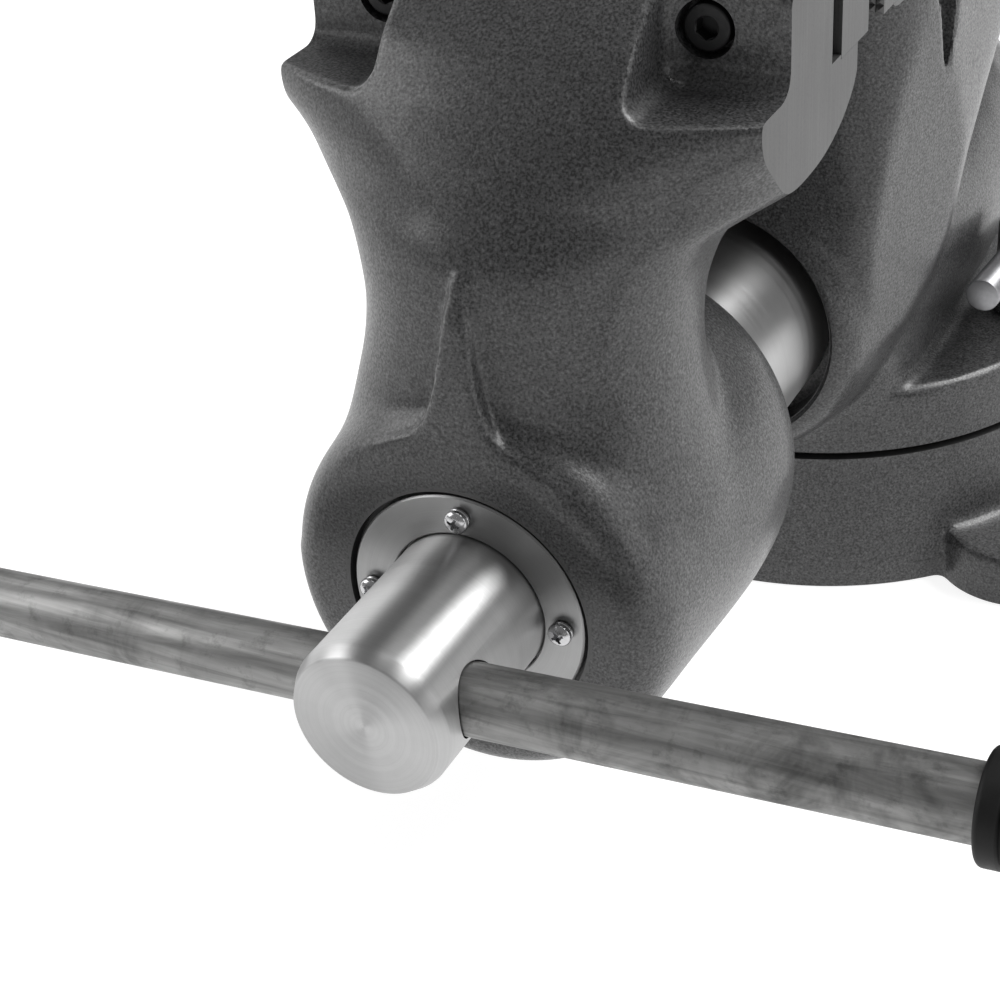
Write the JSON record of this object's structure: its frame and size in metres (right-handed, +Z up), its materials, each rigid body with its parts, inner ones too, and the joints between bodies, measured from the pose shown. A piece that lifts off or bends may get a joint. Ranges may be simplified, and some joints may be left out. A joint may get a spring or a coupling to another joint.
{
  "type": "bench vise",
  "caption": "Swivel-base bench vise with a round slide bar, bulged front jaw, screwed jaw inserts, sliding spindle handle and lever swivel locks.",
  "frame": {"origin": "middle of the base's underside, on the swivel axis, at the height of the bench", "axes": "+Z up along the swivel axis; -Y towards the front, where the spindle and its handle are; +Y along the spindle towards the tail; X across the jaws, +X on the right seen from the front"},
  "size_m": [0.3604, 0.4976, 0.2805],
  "materials": {
    "casting_paint": "dark grey hammered enamel on cast iron",
    "jaw_steel": "milled, serrated on the gripping face",
    "turned_steel": "fine turned, bright",
    "raw_bar_steel": "dull drawn bar with handling marks",
    "black_screw": "black oxide, oiled",
    "bright_zinc": "bright zinc plate",
    "bronze": "machined bronze",
    "rubber": "matt black moulded rubber"
  },
  "bodies": {
    "base": {"swivel_base": "casting_paint"},
    "rear_body": {"rear_body": "casting_paint", "rear_jaw_insert": "jaw_steel", "rear_jaw_screw_left": "black_screw", "rear_jaw_screw_right": "black_screw", "spindle_nut": "bronze", "nut_screw": "black_screw", "nut_washer": "turned_steel", "nut_dowel": "turned_steel", "slide_key": "turned_steel", "slide_key_screw": "black_screw", "lock_stud_left": "turned_steel", "lock_stud_right": "turned_steel", "lock_washer_left": "turned_steel", "lock_washer_right": "turned_steel"},
    "front_jaw": {"front_jaw": "casting_paint", "slide_bar": "turned_steel", "front_jaw_insert": "jaw_steel", "front_jaw_screw_left": "black_screw", "front_jaw_screw_right": "black_screw", "retaining_plate": "turned_steel", "plate_screw_top": "bright_zinc", "plate_screw_right": "bright_zinc", "plate_screw_bottom": "bright_zinc", "plate_screw_left": "bright_zinc", "plate_washer_top": "bright_zinc", "plate_washer_right": "bright_zinc", "plate_washer_bottom": "bright_zinc", "plate_washer_left": "bright_zinc"},
    "spindle": {"spindle": "turned_steel", "thrust_washer": "bronze"},
    "handle": {"handle_bar": "raw_bar_steel", "handle_cap_left": "rubber", "handle_cap_right": "rubber"},
    "lock_right": {"lock_nut_right": "turned_steel", "lock_lever_right": "bright_zinc"},
    "lock_left": {"lock_nut_left": "turned_steel", "lock_lever_left": "bright_zinc"}
  },
  "joints": [
    {"name": "body_swivel", "type": "hinge", "parent": "base", "child": "rear_body", "pos_m": [0, 0, 0.05], "axis": [0, 0, 1], "continuous": true},
    {"name": "jaw_slide", "type": "slide", "parent": "rear_body", "child": "front_jaw", "axis": [0, -1, 0], "range_m": [-0.0115, 0.1155]},
    {"name": "spindle_turn", "type": "hinge", "parent": "front_jaw", "child": "spindle", "pos_m": [0, -0.2965, 0.1105], "axis": [0, -1, 0], "range_deg": [-660, 6560]},
    {"name": "handle_slide", "type": "slide", "parent": "spindle", "child": "handle", "axis": [0.9979, 0, 0.0654], "range_m": [-0.131, 0.131]},
    {"name": "lock_turn_right", "type": "hinge", "parent": "rear_body", "child": "lock_right", "pos_m": [0.079, 0, 0.1022], "axis": [0, 0, 1], "range_deg": [0, 170]},
    {"name": "lock_turn_left", "type": "hinge", "parent": "rear_body", "child": "lock_left", "pos_m": [-0.079, 0, 0.1022], "axis": [0, 0, 1], "range_deg": [0, 170]}
  ],
  "couplings": [
    {"joint": "spindle_turn", "follows": "jaw_slide", "rad_per_m": 989.48}
  ]
}
